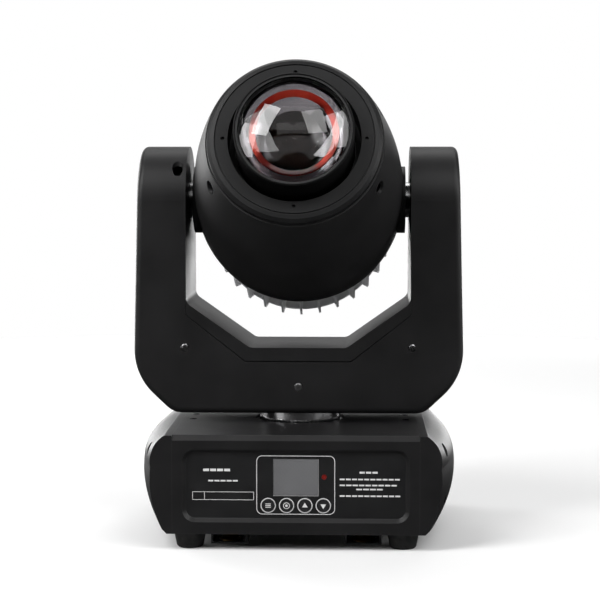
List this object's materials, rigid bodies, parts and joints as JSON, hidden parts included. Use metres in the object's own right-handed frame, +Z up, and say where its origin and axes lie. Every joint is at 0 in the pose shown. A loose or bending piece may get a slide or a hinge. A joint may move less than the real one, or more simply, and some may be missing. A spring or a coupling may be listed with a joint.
{
  "type": "moving head light",
  "caption": "Stage moving head light: black base with a display and keys, panning yoke, tilting barrel-shaped head with a domed lens, finned heat sink and rear fan.",
  "frame": {"origin": "on the pan axis, in the plane of the quarter-turn lock receptacles under the base", "axes": "+Z up along the pan axis, -Y towards the display and the lens at rest, +X to the right of the display"},
  "size_m": [0.2676, 0.271, 0.383],
  "materials": {
    "black_plastic": "satin",
    "key_plastic": "gloss",
    "panel_film": "gloss",
    "display": "gloss",
    "red_window": "gloss",
    "board": "satin",
    "black_metal": "satin",
    "zinc_steel": "satin",
    "bright_steel": "polished",
    "aluminium": "satin",
    "yellow_zinc": "satin",
    "rubber": "matte",
    "socket_plastic": "satin",
    "optical_glass": "polished",
    "filter_glass": "polished"
  },
  "bodies": {
    "base": {"base_top_cover": "black_plastic", "base_front_panel": "black_plastic", "base_rear_panel": "black_plastic", "base_end_cap_left": "black_plastic", "base_end_cap_right": "black_plastic", "base_plate": "zinc_steel", "control_panel": "panel_film", "lcd_window": "display", "lcd_module": "board", "infrared_window": "red_window", "control_board": "board", "rubber_feet": "rubber", "lock_rails": "black_metal", "lock_receptacles": "yellow_zinc", "safety_loop": "zinc_steel", "power_inlet": "socket_plastic", "fuse_holder": "socket_plastic", "dmx_in_socket": "socket_plastic", "dmx_out_socket": "socket_plastic", "power_supply": "zinc_steel", "pan_bearing": "zinc_steel", "pan_motor": "black_metal", "pan_belt": "rubber"},
    "menu_key": {"button_menu": "key_plastic"},
    "enter_key": {"button_enter": "key_plastic"},
    "up_key": {"button_up": "key_plastic"},
    "down_key": {"button_down": "key_plastic"},
    "pan_motor_rotor": {"pan_motor_pulley": "aluminium"},
    "yoke": {"yoke_front_cover": "black_plastic", "yoke_rear_cover": "black_plastic", "yoke_screws": "zinc_steel", "yoke_frame": "zinc_steel", "pan_spindle": "bright_steel", "pan_pulley": "aluminium", "tilt_bearings": "zinc_steel", "tilt_motor": "black_metal", "tilt_belt": "rubber"},
    "tilt_motor_rotor": {"tilt_motor_pulley": "aluminium"},
    "head": {"head_cover_upper": "black_plastic", "head_cover_lower": "black_plastic", "front_bezel": "black_plastic", "lens_barrel": "black_metal", "front_lens": "optical_glass", "lens_retainer": "zinc_steel", "tilt_hub_left": "zinc_steel", "tilt_hub_right": "zinc_steel", "tilt_pulley": "aluminium", "head_frame": "zinc_steel", "heat_sink": "aluminium", "rear_guard": "black_metal", "led_module": "board", "effects_plate": "aluminium", "effects_motors": "black_metal", "guide_rods": "zinc_steel", "head_screws": "zinc_steel"},
    "fan": {"fan_rotor": "socket_plastic"},
    "color_disc": {"color_wheel": "filter_glass"},
    "gobo_disc": {"gobo_wheel": "aluminium"},
    "focus": {"focus_carriage": "aluminium", "focus_lens": "optical_glass"}
  },
  "joints": [
    {"name": "pan", "type": "hinge", "parent": "base", "child": "yoke", "pos_m": [0, 0, 0.1], "axis": [0, 0, 1], "range_deg": [-270, 270]},
    {"name": "tilt", "type": "hinge", "parent": "yoke", "child": "head", "pos_m": [0, 0, 0.2705], "axis": [1, 0, 0], "range_deg": [-188.4, 51.6]},
    {"name": "pan_motor_turn", "type": "hinge", "parent": "base", "child": "pan_motor_rotor", "pos_m": [-0.058, 0.044, 0.066], "axis": [0, 0, 1], "range_deg": [-1350, 1350]},
    {"name": "tilt_motor_turn", "type": "hinge", "parent": "yoke", "child": "tilt_motor_rotor", "pos_m": [0.1155, 0, 0.1375], "axis": [1, 0, 0], "range_deg": [-942, 258]},
    {"name": "fan_spin", "type": "hinge", "parent": "head", "child": "fan", "pos_m": [0, 0.0874, 0.2359], "axis": [0, -0.9298, 0.3681], "continuous": true},
    {"name": "color_wheel_spin", "type": "hinge", "parent": "head", "child": "color_disc", "pos_m": [0, 0.00605, 0.29392], "axis": [0, -0.9298, 0.3681], "continuous": true},
    {"name": "gobo_wheel_spin", "type": "hinge", "parent": "head", "child": "gobo_disc", "pos_m": [0, -0.01534, 0.25076], "axis": [0, -0.9298, 0.3681], "continuous": true},
    {"name": "focus_slide", "type": "slide", "parent": "head", "child": "focus", "axis": [0, -0.9298, 0.3681], "range_m": [-0.015, 0.018]},
    {"name": "press_menu", "type": "slide", "parent": "base", "child": "menu_key", "axis": [0, 1, 0], "range_m": [0, 0.0006], "stiffness_N_per_m": 600, "springref_m": -0.0004},
    {"name": "press_enter", "type": "slide", "parent": "base", "child": "enter_key", "axis": [0, 1, 0], "range_m": [0, 0.0006], "stiffness_N_per_m": 600, "springref_m": -0.0004},
    {"name": "press_up", "type": "slide", "parent": "base", "child": "up_key", "axis": [0, 1, 0], "range_m": [0, 0.0006], "stiffness_N_per_m": 600, "springref_m": -0.0004},
    {"name": "press_down", "type": "slide", "parent": "base", "child": "down_key", "axis": [0, 1, 0], "range_m": [0, 0.0006], "stiffness_N_per_m": 600, "springref_m": -0.0004}
  ],
  "couplings": [
    {"joint": "pan_motor_turn", "follows": "pan", "ratio": 5},
    {"joint": "tilt_motor_turn", "follows": "tilt", "ratio": 5}
  ]
}
